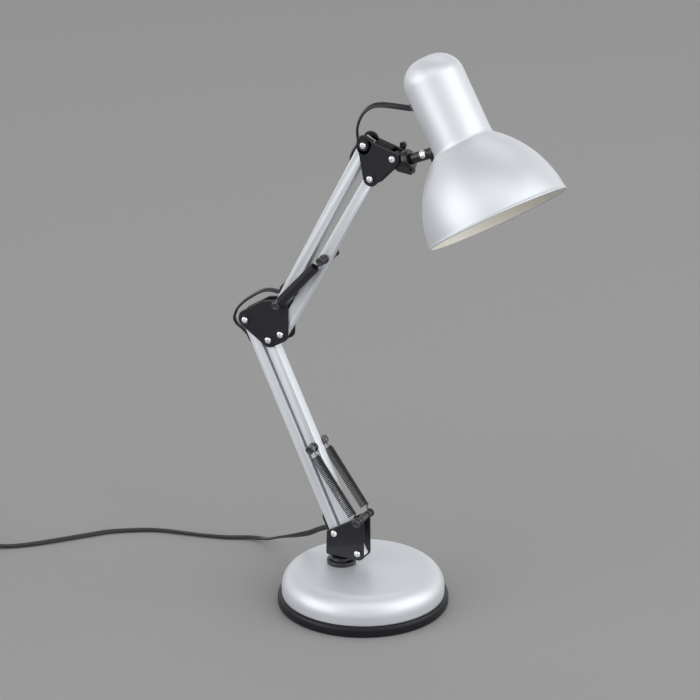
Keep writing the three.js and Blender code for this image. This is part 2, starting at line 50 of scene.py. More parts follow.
# ---------------------------------------------------------------- camera
AZ, EL, DIST = math.radians(27.08), math.radians(21.49), 3.0
TARGET = Vector((-13.8, 0, 250.1)) * MM
BACK = Vector((math.sin(AZ) * math.cos(EL), -math.cos(AZ) * math.cos(EL), math.sin(EL)))
camera = bpy.data.objects.new("camera", bpy.data.cameras.new("camera"))
bpy.context.scene.collection.objects.link(camera)
camera.data.sensor_width, camera.data.lens = 36, 169.0
camera.data.clip_start, camera.data.clip_end = 0.1, 50
camera.location = TARGET + BACK * DIST
camera.rotation_mode = "QUATERNION"
camera.rotation_quaternion = (-BACK).to_track_quat("-Z", "Y")
bpy.context.scene.camera = camera
bpy.context.view_layer.update()

# ---------------------------------------------------------------- the lamp's main points, mm, [x, z]
S1, S2 = (-26.2, 66.8), (-2.0, 51.0)
E1, E2, E3, E4 = (-118.5, 264.1), (-94.3, 248.3), (-81.7, 256.0), (-82.7, 286.0)
H1, H2, H3 = (3.5, 450.7), (32.2, 442.3), (10.2, 420.5)
BRACKET_POST = (-0.2, 84.5)
LOWER_POST, UPPER_POST = 108.8, 92.5
SWIVEL_X = -22.7
PLATE_IN, PLATE_OUT, SPRING_Y = 5.7, 7.7, 12.6
JOIN = Vector((97.3, 0, 464.6))
STEM_ANGLE = math.radians(23.7)
STEM = Vector((math.cos(STEM_ANGLE), 0, math.sin(STEM_ANGLE)))
SHADE_DOWN = Vector((0.5397, -0.1485, -0.829)).normalized()
MOUTH, CAP, NECK_R, GROMMET_Z = 73.1, 82.2, 27.7, 48.6
SWITCH, SWITCH_TURN, ROCKER_TILT = Vector((-404, -80, 0)), 0.59, 0.122
COIL = Vector((-480, -108, 0))


def along(a, b, s):
    """The point s mm from a towards b."""
    length = math.hypot(b[0] - a[0], b[1] - a[1])
    return tuple(p + (q - p) * s / length for p, q in zip(a, b))


def basis(x, y, z, origin=(0, 0, 0)):
    """The frame with these three axes and that origin."""
    return Matrix([[x[i], y[i], z[i], origin[i]] for i in range(3)] + [[0, 0, 0, 1]])


def frame_z(z, origin, hint):
    """A frame at origin with that z axis and its x axis towards hint."""
    z = Vector(z).normalized()
    x = (Vector(hint) - z * Vector(hint).dot(z)).normalized()
    return basis(x, z.cross(x), z, origin)


SHADE = frame_z(-SHADE_DOWN, JOIN, -STEM)
ON_STEM = frame_z(-STEM, JOIN, (0, 1, 0))  # z runs back from the shade towards the knuckle
LAID_FLAT = basis((1, 0, 0), (0, 0, 1), (0, -1, 0))  # turns a slab so that its thickness runs along z


# ---------------------------------------------------------------- materials
GLOSS_SWING = 0.07
FACTOR, COLOUR_A, COLOUR_B, MIXED = 0, 6, 7, 2  # the Mix node's sockets when it mixes colours


def material(
    name, colour, rough, metal=0.0, grain=900.0, bump=0.04, vary=0.05, coat=0.0, blotch=25.0, spec=0.5
):
    """A painted or moulded finish: fine grain in the surface, and slow changes of shade and gloss."""
    m = bpy.data.materials.new(name)
    m.use_nodes = True
    t = m.node_tree
    shader = t.nodes["Principled BSDF"]
    shader.inputs["Metallic"].default_value = metal
    shader.inputs["Specular IOR Level"].default_value = spec
    shader.inputs["Coat Weight"].default_value = coat
    shader.inputs["Coat Roughness"].default_value = 0.12
    where = t.nodes.new("ShaderNodeTexCoord")

    def noise(scale, detail):
        n = t.nodes.new("ShaderNodeTexNoise")
        n.inputs["Scale"].default_value, n.inputs["Detail"].default_value = scale, detail
        t.links.new(where.outputs["Object"], n.inputs["Vector"])
        return n

    slow, fine = noise(blotch, 3), noise(grain, 2)
    mix = t.nodes.new("ShaderNodeMix")
    mix.data_type = "RGBA"
    for socket, k in ((COLOUR_A, 1 - vary), (COLOUR_B, 1 + vary)):
        mix.inputs[socket].default_value = [min(1, c * k) for c in colour] + [1]
    t.links.new(slow.outputs["Fac"], mix.inputs[FACTOR])
    t.links.new(mix.outputs[MIXED], shader.inputs["Base Color"])
    gloss = t.nodes.new("ShaderNodeMapRange")
    gloss.inputs["To Min"].default_value = max(0.02, rough - GLOSS_SWING)
    gloss.inputs["To Max"].default_value = min(1, rough + GLOSS_SWING)
    t.links.new(slow.outputs["Fac"], gloss.inputs["Value"])
    t.links.new(gloss.outputs["Result"], shader.inputs["Roughness"])
    b = t.nodes.new("ShaderNodeBump")
    b.inputs["Strength"].default_value, b.inputs["Distance"].default_value = bump, 0.0004
    t.links.new(fine.outputs["Fac"], b.inputs["Height"])
    t.links.new(b.outputs["Normal"], shader.inputs["Normal"])
    return m


SILVER = material(
    "silver_paint", (0.62, 0.645, 0.68), 0.46, metal=0.5, grain=2600, bump=0.10, vary=0.02, coat=0.1
)
BAR = material("bar_silver", (0.65, 0.68, 0.72), 0.48, metal=0.35, grain=2600, bump=0.10, vary=0.025)
INSIDE = material("shade_inside", (0.82, 0.79, 0.71), 0.45, grain=1200, bump=0.05, vary=0.02)
PLATE = material(
    "black_paint", (0.011, 0.011, 0.016), 0.34, grain=1800, bump=0.12, vary=0.2, coat=0.3, spec=0.3
)
BLACK = material(
    "black_plastic", (0.009, 0.009, 0.012), 0.32, grain=700, bump=0.10, vary=0.2, coat=0.4, spec=0.3
)
KNOB = material("black_gloss", (0.018, 0.018, 0.022), 0.22, grain=500, bump=0.05, vary=0.2, coat=0.8)
WIRE = material("spring_wire", (0.009, 0.009, 0.012), 0.24, grain=500, bump=0.05, vary=0.2, spec=0.45)
# The lower springs' top hooks are the same black wire as the coils; this lighter steel colour paints the
# glints of light on them.
HOOK_PAINTED_GLINT = material("hook_painted_glint", (0.36, 0.36, 0.38), 0.25, metal=0.9, grain=600, bump=0.05)
ZINC = material("zinc_screw", (0.80, 0.80, 0.82), 0.24, metal=0.95, grain=900, bump=0.08, vary=0.04)
RUBBER = material("ring_rubber", (0.007, 0.007, 0.011), 0.40, grain=900, bump=0.12, vary=0.15, spec=0.3)
# The head's web: black made darker and duller than the other black plastic, which paints the shade in the
# recess between the head plates.
WEB_PAINTED_SHADE = material("web_black_painted_shade", (0.008, 0.008, 0.010), 0.6, grain=900, bump=0.1, vary=0.1, spec=0.25)
FELT = material("felt", (0.02, 0.02, 0.021), 0.95, grain=1500, bump=0.9, vary=0.3, spec=0.1)
IRON = material("cast_iron", (0.10, 0.095, 0.09), 0.75, metal=0.3, grain=300, bump=0.6, vary=0.2)
PVC = material("lead_pvc", (0.014, 0.014, 0.017), 0.36, grain=600, bump=0.06, vary=0.15, spec=0.4)
FLOOR = material(
    "floor_grey", (0.290, 0.290, 0.290), 0.8, grain=40, bump=0.0, vary=0.005, blotch=0.6, spec=0.2
)
WHITE = material("lampholder_white", (0.80, 0.78, 0.73), 0.42, grain=800, bump=0.04)
BRASS = material("contact_brass", (0.72, 0.52, 0.22), 0.35, metal=1.0, grain=700, bump=0.1)


# ---------------------------------------------------------------- mesh building, in mm
def build(name, parts, mats, body=None, bevel=0.0, angle=35, segments=3):
    """One object from parts, each (vertices, faces, material index), with rounded edges if bevel is given."""
    verts, faces, slots = [], [], []
    for v, f, s in parts:
        base = len(verts)
        verts += [tuple(Vector(p) * MM) for p in v]
        faces += [[base + i for i in face] for face in f]
        slots += [s] * len(f)
    mesh = bpy.data.meshes.new(name)
    mesh.from_pydata(verts, [], faces)
    for m in mats if isinstance(mats, list) else [mats]:
        mesh.materials.append(m)
    mesh.polygons.foreach_set("material_index", slots)
    bm = bmesh.new()
    bm.from_mesh(mesh)
    bmesh.ops.remove_doubles(bm, verts=bm.verts, dist=1e-7)
    bmesh.ops.recalc_face_normals(bm, faces=bm.faces)
    bm.to_mesh(mesh)
    bm.free()
    obj = bpy.data.objects.new(name, mesh)
    bpy.context.scene.collection.objects.link(obj)
    finish_edges(obj, bevel, angle, segments)
    if body:
        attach(obj, body)
    return obj


def finish_edges(obj, bevel, angle, segments=3):
    """Smooth shading, with corners sharper than angle left crisp, and rounded if bevel is given."""
    obj.data.shade_smooth()
    obj.data.set_sharp_from_angle(angle=math.radians(angle))
    if bevel:
        b = obj.modifiers.new("edges", "BEVEL")
        b.width, b.segments = bevel * MM, segments
        b.limit_method, b.angle_limit = "ANGLE", math.radians(angle)
        b.use_clamp_overlap, b.harden_normals, b.miter_outer = False, False, "MITER_ARC"


def rounded(points, radius, n=4):
    """A profile with every corner between its two ends rounded."""
    out = [points[0]]
    for a, b, c in zip(points, points[1:], points[2:]):
        a, b, c = Vector(a), Vector(b), Vector(c)
        u, v = a - b, c - b
        r = min(radius, 0.45 * u.length, 0.45 * v.length)
        if u.length < 1e-6 or v.length < 1e-6 or u.angle(v) > 3.0:
            out.append(tuple(b))
            continue
        p, q = b + u.normalized() * r, b + v.normalized() * r
        for i in range(n + 1):
            s = i / n
            out.append(tuple(p * (1 - s) ** 2 + b * 2 * s * (1 - s) + q * s * s))
    out.append(points[-1])
    return out


def lathe(profile, seg=64, place=None, slot=0):
    """A turned part about local z from a profile of (radius, z); ends on the axis or closes on itself."""
    place = place or Matrix()
    verts, faces, rings = [], [], []
    for r, z in profile:
        if r < 1e-6:
            rings.append([len(verts)] * seg)
            verts.append(place @ Vector((0, 0, z)))
            continue
        rings.append(list(range(len(verts), len(verts) + seg)))
        for i in range(seg):
            a = 2 * math.pi * i / seg
            verts.append(place @ Vector((r * math.cos(a), r * math.sin(a), z)))
    for a, b in zip(rings, rings[1:]):
        for i in range(seg):
            j = (i + 1) % seg
            face = list(dict.fromkeys([a[i], a[j], b[j], b[i]]))
            if len(face) > 2:
                faces.append(face)
    return verts, faces, slot


def along_y(x, z):
    """A frame whose z axis runs along +Y."""
    return basis((0, 0, 1), (1, 0, 0), (0, 1, 0), (x, 0, z))


def band(circles, seg=56):
    """The outline round a set of circles (x, z, r), as a rubber band round them would lie."""
    angles = [2 * math.pi * i / seg for i in range(seg)]
    pts = sorted(
        (round(x + r * math.cos(a), 6), round(z + r * math.sin(a), 6)) for x, z, r in circles for a in angles
    )

    def bends_in(a, b, c):
        return (b[0] - a[0]) * (c[1] - a[1]) <= (b[1] - a[1]) * (c[0] - a[0])

    def half(points):
        h = []
        for p in points:
            while len(h) > 1 and bends_in(h[-2], h[-1], p):
                h.pop()
            h.append(p)
        return h[:-1]

    return half(pts) + half(pts[::-1])


def slab(outline, y0, y1, slot=0, place=None):
    """An outline in the XZ plane as a slab from y0 to y1."""
    place = place or Matrix()
    n = len(outline)
    verts = [place @ Vector((x, y, z)) for y in (y0, y1) for x, z in outline]
    faces = [list(range(n)), list(range(2 * n - 1, n - 1, -1))]
    faces += [[i, (i + 1) % n, n + (i + 1) % n, n + i] for i in range(n)]
    return verts, faces, slot


def box(lo, hi, slot=0, place=None):
    """A block between two opposite corners."""
    place = place or Matrix()
    xs, ys, zs = zip(lo, hi)
    verts = [place @ Vector((x, y, z)) for x in xs for y in ys for z in zs]
    return verts, [[0, 1, 3, 2], [4, 6, 7, 5], [0, 4, 5, 1], [2, 3, 7, 6], [0, 2, 6, 4], [1, 5, 7, 3]], slot


def curve(points, step=1.5):
    """A smooth line through points, resampled about every step mm."""
    p = np.array(points, float)
    p = np.vstack([2 * p[0] - p[1], p, 2 * p[-1] - p[-2]])
    out = []
    for i in range(1, len(p) - 2):
        a, b, c, d = p[i - 1 : i + 3]
        ta, tb, tc = (max(1e-6, np.linalg.norm(v) ** 0.5) for v in (b - a, c - b, d - c))
        m1 = ((b - a) / ta - (c - a) / (ta + tb) + (c - b) / tb) * tb
        m2 = ((c - b) / tb - (d - b) / (tb + tc) + (d - c) / tc) * tb
        for s in np.linspace(0, 1, 24, endpoint=False):
            ends = (2 * s**3 - 3 * s**2 + 1) * b + (s**3 - 2 * s**2 + s) * m1
            out.append(ends + (3 * s**2 - 2 * s**3) * c + (s**3 - s**2) * m2)
    out.append(p[-2])
    out = np.array(out)
    run = np.concatenate([[0], np.cumsum(np.linalg.norm(np.diff(out, axis=0), axis=1))])
    n = max(3, int(round(run[-1] / step)) + 1)
    at = np.linspace(0, run[-1], n)
    return np.stack([np.interp(at, run, out[:, k]) for k in range(3)], axis=1)


def sweep(line, section, across=None, roll=None):
    """A section of (u, v) carried along a line; across is roughly its u direction, per point or for all."""
    line = np.array(line, float)
    tangent = np.gradient(line, axis=0)
    tangent /= np.linalg.norm(tangent, axis=1)[:, None]
    u = np.array(across if across is not None else (0, 1, 0), float)
    verts, n, k = [], len(line), len(section)
    for i in range(n):
        want = u if u.ndim == 1 else u[i]
        side = want - tangent[i] * (want @ tangent[i])
        side /= np.linalg.norm(side)
        up = np.cross(tangent[i], side)
        a = 0.0 if roll is None else roll[i]
        s, w = side * math.cos(a) + up * math.sin(a), up * math.cos(a) - side * math.sin(a)
        verts += [tuple(line[i] + s * p + w * q) for p, q in section]
        if across is None:
            u = side
    faces = []
    for a in range(0, (n - 1) * k, k):
        faces += [[a + j, a + (j + 1) % k, a + k + (j + 1) % k, a + k + j] for j in range(k)]
    faces += [list(range(k)), list(range(n * k - 1, (n - 1) * k - 1, -1))]
    return verts, faces, 0


def flat_section(width=5.2, thick=2.5, n=20):
    """Two cores side by side: an oval with a slight waist."""
    out = []
    for i in range(n):
        a = 2 * math.pi * (i + 0.5) / n
        x = width / 2 * math.copysign(abs(math.cos(a)) ** 0.8, math.cos(a))
        waist = 1 - 0.16 * math.exp(-((x / (width * 0.13)) ** 2))
        out.append((x, thick / 2 * math.copysign(abs(math.sin(a)) ** 0.75, math.sin(a)) * waist))
    return out


def round_section(r, n=8):
    """A wire's section."""
    return [(r * math.cos(2 * math.pi * i / n), r * math.sin(2 * math.pi * i / n)) for i in range(n)]


def quarter(cx, cz, r, n):
    """A quarter circle from the outside up to the top, as (radius, z)."""
    angles = [math.pi / 2 * i / n for i in range(n + 1)]
    return [(cx + r * math.cos(a), cz + r * math.sin(a)) for a in angles]


def dress(node, mat, bevel=0.0, angle=30):
    """A CAD node shown as it is, with a material and rounded edges."""
    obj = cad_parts[node]
    obj.data.materials.clear()
    obj.data.materials.append(mat)
    weld = obj.modifiers.new("weld", "WELD")
    weld.merge_threshold = 2e-6
    finish_edges(obj, bevel, angle, 2)


# ---------------------------------------------------------------- base
COVER_R, COVER_TOP, COVER_EDGE, COVER_SKIN, COVER_FOOT = 76.3, 35.0, 18.4, 1.2, 5.2
edge_at = (COVER_R - COVER_EDGE, COVER_TOP - 0.2 - COVER_EDGE)  # the top is crowned by 0.2 mm
outer = quarter(*edge_at, COVER_EDGE, 20)
inner = quarter(*edge_at, COVER_EDGE - COVER_SKIN, 12)[::-1]
foot = [(COVER_R - COVER_SKIN, COVER_FOOT), (COVER_R, COVER_FOOT)]
crown = [(44, COVER_TOP - 0.05), (28, COVER_TOP), (0, COVER_TOP), (0, COVER_TOP - 1.4)]
cover = [*foot, *outer, *crown, *inner, foot[0]]
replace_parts(build("base_cover_shell", [lathe(cover, 160)], SILVER, "base", angle=50), "base_cover")
ring = rounded([
    (72.9, 3), (72.9, 0.0), (79.0, 0.0), (80.0, 1.2), (80.0, 7.0), (79.3, 9.4), (77.6, 10.6), (76.45, 10.7),
    (76.45, 4.9), (72.9, 4.9), (72.9, 3),
], 0.7)
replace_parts(build("base_foot_ring", [lathe(ring, 160)], RUBBER, "base", angle=50), "base_ring")
dress("base_pad", FELT, 0.3)
dress("base_weight", IRON, 0.6)
collar = rounded([
    (5.2, 35.1), (13.4, 35.1), (13.8, 35.8), (13.8, 38.7), (12.9, 39.5), (10.2, 39.6), (9.8, 40.4),
    (9.6, 42.1), (5.2, 42.2), (5.2, 38), (5.2, 35.1),
], 0.5)
at_swivel = Matrix.Translation((SWIVEL_X, 0, 0))
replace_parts(build("swivel_washer", [lathe(collar, 72, at_swivel)], BLACK, "base", angle=40), "swivel_collar")

# ---------------------------------------------------------------- screws and posts
BOLT_R = 1.75
pan = rounded([
    (0, -10.55), (1.4, -10.5), (2.7, -9.95), (3.3, -9.0), (3.3, -8.45), (2.9, -8.3), (BOLT_R, -8.3),
], 0.35, 3)
nut = [
    (BOLT_R, 8.3), (3.5, 8.3), (3.6, 8.5), (3.6, 10.3), (3.2, 10.8), (BOLT_R, 10.9), (1.7, 11.5), (0, 11.6),
]


def recessed(name, parts, cutters, mat, bevel=0.0, angle=40, outside=0.0):
    """Parts with cutters taken out; edges are rounded by outside before the cut and by bevel after it."""
    body, tool = build(name, parts, mat, None, outside, angle), build(name + "_tool", cutters, mat)
    cut = body.modifiers.new("recess", "BOOLEAN")
    cut.object, cut.operation, cut.solver = tool, "DIFFERENCE", "MANIFOLD"
    mesh = bpy.data.meshes.new_from_object(body.evaluated_get(bpy.context.evaluated_depsgraph_get()))
    body.modifiers.clear()
    body.data = mesh
    bpy.data.objects.remove(tool)
    finish_edges(body, bevel, angle)
    return body


def cross(arm, half, z0, z1, place):
    """A cross recess of that arm length and half width, from z0 to z1 along local z."""
    corners = [(half, arm), (half, half), (arm, half), (arm, -half), (half, -half), (half, -arm)]
    plus = [(x * k, y * k) for k in (1, -1) for x, y in corners]
    return [slab(plus, z0, z1, 0, place @ LAID_FLAT)]


def screw(name, at, body, tail=nut, turn=0.5):
    """A pan-head screw from front to back through a pivot; tail is its far end, with or without a nut."""
    place = along_y(*at) @ Matrix.Rotation(turn, 4, "Z")
    recess = cross(2.1, 0.55, -11.5, -9.3, place)
    obj = recessed(name + "_head", [lathe(pan + tail, 28, place)], recess, ZINC, 0.06)
    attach(obj, body)
    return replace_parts(obj, name)


def knob(sign, inner_r, inner_y, collar_r):
    """The end of a post: collar, groove for the spring's hook, cap."""
    prof = [
        (inner_r, inner_y), (collar_r, inner_y), (collar_r, 8.2), (3.2, 8.5), (3.9, 8.9), (3.9, 10.6),
        (3.4, 11.1), (2.7, 11.5), (2.7, 13.7), (3.3, 14.1), (4.1, 14.3), (4.1, 15.5), (3.5, 16.2),
        (2.2, 16.3), (1.9, 15.8), (0, 15.8),
    ]
    return [(r, sign * y) for r, y in prof]


def post_parts(at, inner_r, inner_y, collar_r=BOLT_R):
    """A post across the arms, with a knob at each end."""
    near, far = (knob(sign, inner_r, inner_y, collar_r) for sign in (-1, 1))
    return [lathe(rounded(near[::-1], 0.3, 3) + rounded(far, 0.3, 3), 36, along_y(*at))]


# ---------------------------------------------------------------- plates
def boss(r):
    """The raised ring round a screw, with a shallow dish inside it."""
    low, dish, top = PLATE_OUT - 0.4, PLATE_OUT + 0.25, PLATE_OUT + 0.6
    return rounded([(0, low), (r, low), (r - 0.15, top), (r - 1.5, top), (r - 1.8, dish), (0, dish)], 0.2, 3)


def plates(name, outlines, bosses, body):
    """The two side plates of a joint, each from rubber-band outlines, with bosses (x, z, r)."""
    for side, sign in (("front", -1), ("back", 1)):
        lo, hi = sorted((sign * PLATE_IN, sign * PLATE_OUT))
        parts = [slab(band(o), lo, hi) for o in outlines]
        for x, z, r in bosses:
            parts.append(lathe([(a, sign * b) for a, b in boss(r)], 48, along_y(x, z)))
        obj = build(f"{name}_{side}_cheek", parts, PLATE, body, bevel=0.75, angle=50)
        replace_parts(obj, f"{name}_{side}")


plates(
    "bracket_plate",
    [[(-33.2, 45.8, 2.0), (-1.8, 49.8, 6.1), (0.4, 82.4, 3.6), (-0.4, 84.2, 3.8), (-32.2, 66.3, 2.4)]],
    [(*S1, 4.2), (*S2, 4.6)],
    "bracket",
)
plates(
    "elbow_plate",
    [[(*E1, 7.4), (-118.0, 265.9, 7.6), (-97, 277, 9.5), (-80.8, 283.2, 6.6), (*E3, 7.8), (*E2, 7.6)]],
    [(*E1, 5.6), (*E2, 5.2), (*E3, 5.2)],
    "elbow",
)
plates(
    "head_plate",
    [[(*H1, 6.4), (*H2, 6.6), (*H3, 7.4)], [(4.2, 452.6, 7.8), (3.2, 448.5, 7.0)]],
    [(*H1, 5.4), (*H3, 5.4)],
    "head",
)
# the folded strip that joins the bracket's plates round their front corner
strip = np.radians(np.linspace(-85, -22, 14))
corner = []
for r, angles in ((6.1, strip), (5.3, strip[::-1])):
    corner += [(-1.8 + r * math.cos(a), 49.8 + r * math.sin(a)) for a in angles]
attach(build("bracket_corner", [slab(corner, -5.9, 5.9)], PLATE, angle=50), "bracket")
dress("bracket_foot", PLATE, 0.3)
# the web takes the darker, duller black that paints the shade of its recess
dress("head_web", WEB_PAINTED_SHADE, 0.15)
for name, at, body in (
    ("s1", S1, "bracket"), ("s2", S2, "bracket"), ("e1", E1, "elbow"), ("e2", E2, "elbow"),
    ("e3", E3, "elbow"), ("h1", H1, "head"), ("h3", H3, "head"),
):
    screw("bolt_" + name, at, body, turn=0.5 + 0.7 * at[0] % 1.5)
screw("bolt_h2", H2, "head", [(BOLT_R, 17.0), (1.3, 17.5), (0, 17.5)], 0.3)
for body, at, inner_r in (("bracket", BRACKET_POST, 3.2), ("elbow", E4, BOLT_R)):
    post = build(f"{body}_cross_post", post_parts(at, inner_r, 5.4), KNOB, body, angle=40)
    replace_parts(post, f"{body}_post")


# ---------------------------------------------------------------- arms
def bar_frame(low, high, y=0.0):
    """A frame whose z runs up the bar, x across it in the arms' plane and y along world Y."""
    z = Vector((high[0] - low[0], 0, high[1] - low[1])).normalized()
    return basis((z.z, 0, -z.x), (0, 1, 0), z, (low[0], y, low[1]))


for arm in ("lower", "upper"):
    for bar in ("rear", "front"):
        dress(f"{arm}_{bar}_bar", BAR, 0.28)
        for end in ("low", "high"):
            dress(f"{arm}_{bar}_insert_{end}", BLACK, 0.4)
for arm, low, high, at, shift in (("lower", S2, E2, LOWER_POST, -2.0), ("upper", E3, H3, UPPER_POST, -1.0)):
    block = box((-4.8 + shift, -4.0, at - 5), (3.8 + shift, 4.0, at + 5), 0, bar_frame(low, high))
    post = [block, *post_parts(along(low, high, at), BOLT_R, 5.4, 4.5)]
    obj = build(f"{arm}_cross_post", post, KNOB, f"{arm}_front", bevel=0.25, angle=50)
    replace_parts(obj, f"{arm}_post")


def share(low, high, pivot, swing, s):
    """The part of a front bar's turn that keeps the spring straight, a share s of the spring's way up."""
    low, high, pivot = (Vector(p) for p in (low, high, pivot))
    turn = Matrix.Rotation(-swing, 2)
    here = low.lerp(high, s)
    line = pivot + turn @ (high - pivot) - low
    off = [(p - low).cross(line) for p in (here, pivot + turn @ (here - pivot))]
    return off[0] / (off[0] - off[1])


def spring(name, low, high, y, radius, wire, pitch, start, end, pivot, swing, top=WIRE):
    """A close-wound tension spring with a hook round the groove of the post at each end.

    The spring is five runs; for the two ends of each run the code works out, along an S-shaped curve, the
    share of the front bar's turn that they would take."""
    length = math.hypot(high[0] - low[0], high[1] - low[1])
    place = bar_frame(low, high, y)
    mid, hook, third = radius - wire / 2, 3.35, (length - start - end) / 3
    turns = round(third / pitch)

    def helix(z):
        steps = np.linspace(0, 1, turns * 16 + 1)
        around = 2 * math.pi * turns
        return [(mid * math.cos(around * s), mid * math.sin(around * s), z + third * s) for s in steps]

    def eye(z_coil, z_post, up):
        gap = abs(z_post - z_coil)
        bend = [
            (mid, 0, z_coil),
            (mid * 0.72, 0.8, z_coil + up * 0.5),
            (1.2, 0.5, z_coil + up * min(1.6, gap * 0.3)),
            (1.5, 0, z_post - up * min(5.6, gap * 0.75)),
            (2.9, 0, z_post - up * 2.4),
        ]
        round_post = np.radians([0, 35, 70, 105, 140, 175, 205])
        ring = [(hook * math.cos(t), 0, z_post + up * hook * math.sin(t)) for t in round_post]
        return curve(bend + ring, 0.7)

    marks = [0, start, start + third, start + 2 * third, length - end, length]
    runs = [
        ("hook_low", eye(start, 0, -1), wire * 0.46, WIRE),
        *((f"coil_{k}", helix(marks[k]), wire / 2, WIRE) for k in (1, 2, 3)),
        ("hook_high", eye(length - end, length, 1), wire * 0.46, top),
    ]
    for (part, run, r, mat), z0, z1 in zip(runs, marks, marks[1:]):
        wire_run = sweep([place @ Vector(p) for p in run], round_section(r))
        obj = build(f"{name}_{part}", [wire_run], mat, angle=80)
        s0, s1 = z0 / length, z1 / length
        shares = (share(low, high, pivot, swing, s) for s in (s0, s1))
        x0, x1 = (0.5 - math.sin(math.asin(1 - 2 * k) / 3) for k in shares)
        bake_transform(obj)
        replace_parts(obj, name)


for side, y in (("front", -SPRING_Y), ("back", SPRING_Y)):
    spring(
        f"lower_spring_{side}", BRACKET_POST, along(S2, E2, LOWER_POST), y,
        radius=4.6, wire=1.15, pitch=1.55, start=8, end=8.2,
        # their top hooks take the lighter steel that paints glints on them
        pivot=S2, swing=0.2, top=HOOK_PAINTED_GLINT,
    )
    spring(
        f"upper_spring_{side}", E4, along(E3, H3, UPPER_POST), y,
        radius=4.8, wire=1.3, pitch=1.38, start=5.8, end=9.2,
        pivot=E3, swing=0.85,
    )

# ---------------------------------------------------------------- head: tilt knuckle, stem, wing nut
eye = rounded([(0, -5.3), (5.0, -5.3), (5.0, 5.3), (0, 5.3)], 0.6)
hub = rounded([(0, 54.3), (8.3, 54.3), (9.1, 55.1), (9.1, 60.1), (8.3, 60.9), (0, 60.9)], 0.5)
hub_band = rounded([(8.7, 56.4), (9.5, 56.6), (9.5, 58.6), (8.7, 58.8), (8.7, 56.4)], 0.2)
chin = [(33.5, 436.0), (46.0, 433.6), (49.6, 432.6), (49.0, 428.8), (36.0, 430.2), (31.6, 432.4)]
knuckle = [
    lathe(eye, 40, along_y(*H2)),
    slab(band([(*H2, 4.5), (40.6, 439.4, 5.0)]), -4.2, 4.2),
    lathe(hub, 56, ON_STEM),
    lathe(hub_band, 56, ON_STEM),
    slab(chin, -4.4, 4.4),
]
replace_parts(build("tilt_knuckle_block", knuckle, BLACK, "knuckle", bevel=0.45, angle=50), "tilt_knuckle")
stem = rounded([(0, 59.0), (4.0, 59.0), (4.0, 54.2), (5.0, 54.0), (5.0, 33.4), (4.6, 33.2), (0, 33.2)], 0.4)
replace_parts(build("stem_tube", [lathe(stem, 40, ON_STEM)], BLACK, "shade", angle=40), "stem")
screw_dir = Vector((-0.1188, -0.955, 0.2706)).normalized()
set_screw = frame_z(-screw_dir, JOIN - STEM * 39.6, STEM)
small = rounded([
    (0, -7.7), (1.7, -7.6), (3.1, -6.9), (3.7, -6.0), (3.7, -5.3), (1.5, -5.2), (1.5, -2.4), (0, -2.4),
], 0.3, 3)
recess = cross(2.0, 0.42, -9, -6.7, set_screw)
obj = recessed("stem_screw_head", [lathe(small, 28, set_screw)], recess, ZINC, 0.05)
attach(obj, "shade")
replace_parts(obj, "stem_screw")
dress("shade_saddle", BLACK, 0.5)
sleeve = rounded([(2.0, 8.0), (4.6, 8.0), (4.6, 11.5), (3.9, 16.0), (2.0, 16.0), (2.0, 8.0)], 0.5)
wing = lathe(sleeve, 40, along_y(*H2))
ear = band([(1.2, 3.6, 2.3), (1.6, 8.4, 3.2)])
ears = [slab([(H2[0] + k * x, H2[1] + k * z) for x, z in ear], 9.4, 12.4) for k in (1, -1)]
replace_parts(build("wing_nut_cap", [wing, *ears], KNOB, "wing_nut", bevel=0.7, angle=50), "wing_nut")

# ---------------------------------------------------------------- shade
# The bell is one arc from the rim up to its foot at the neck; its centre lies a little below the mouth.
RIM_R, BELL_R, BELL_DROP, BELL_FOOT = 65.4, 98.7, 5.7, 70.3
NECK_FOOT, CAP_EDGE, SKIN = 76.5, 22, 0.9


def bell_arc(inset, steps=48):
    """Points (radius, z) up the bell, inset mm inside its outer face."""
    rim_a, foot_a = (math.asin((h + BELL_DROP) / BELL_R) for h in (0, BELL_FOOT))
    centre = RIM_R - BELL_R * math.cos(rim_a)
    angles = np.linspace(rim_a, foot_a, steps)
    return [(centre + BELL_R * math.cos(a) - inset, BELL_R * math.sin(a) - BELL_DROP - MOUTH) for a in angles]


def fine(profile, step=1.6):
    """A smooth profile resampled through its points."""
    return [(p[0], p[2]) for p in curve([(r, 0, z) for r, z in profile], step)]


def shade_side(inset):
    """The shade's outline from the rim over the bell, its foot and the neck up to the cap's top."""
    bell, neck = bell_arc(inset), NECK_R - inset
    fillet = [bell[-1], (neck + 0.8, 71.7 - MOUTH), (neck + 0.25, 73.4 - MOUTH), (neck, NECK_FOOT - MOUTH)]
    return bell + fine(fillet, 0.8)[1:] + quarter(NECK_R - CAP_EDGE, CAP - CAP_EDGE, CAP_EDGE - inset, 18)


skin, lining = shade_side(0), shade_side(SKIN)
bead = [(64.6, -0.1), (64.9, -0.8), (65.5, -1.0), (66.1, -0.7), (66.3, 0), (66.1, 0.7), (65.5, 1.05)]
rim = [(r, z - MOUTH) for r, z in bead]
shell = [
    lathe([*rim, *skin[1:], (0, CAP)], 144, SHADE, 0),
    lathe([(0, CAP - SKIN), *lining[::-1], rim[0]], 144, SHADE, 1),
]
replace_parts(build("shade_shell", shell, [SILVER, INSIDE], "shade", angle=55), "shade")

SIDEWAYS = basis((0, 0, -1), (0, 1, 0), (1, 0, 0))  # turns local z to point along +X
radial = SHADE @ Matrix.Translation((0, 0, GROMMET_Z)) @ SIDEWAYS
grommet = rounded([
    (2.9, 25.2), (4.6, 25.2), (4.6, 26.0), (3.4, 26.2), (3.4, 28.2), (5.7, 28.3), (5.7, 29.7), (4.4, 31.4),
    (2.9, 31.5), (2.9, 25.2),
], 0.4, 3)
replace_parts(build("lead_grommet", [lathe(grommet, 40, radial)], KNOB, "shade", angle=45), "grommet")

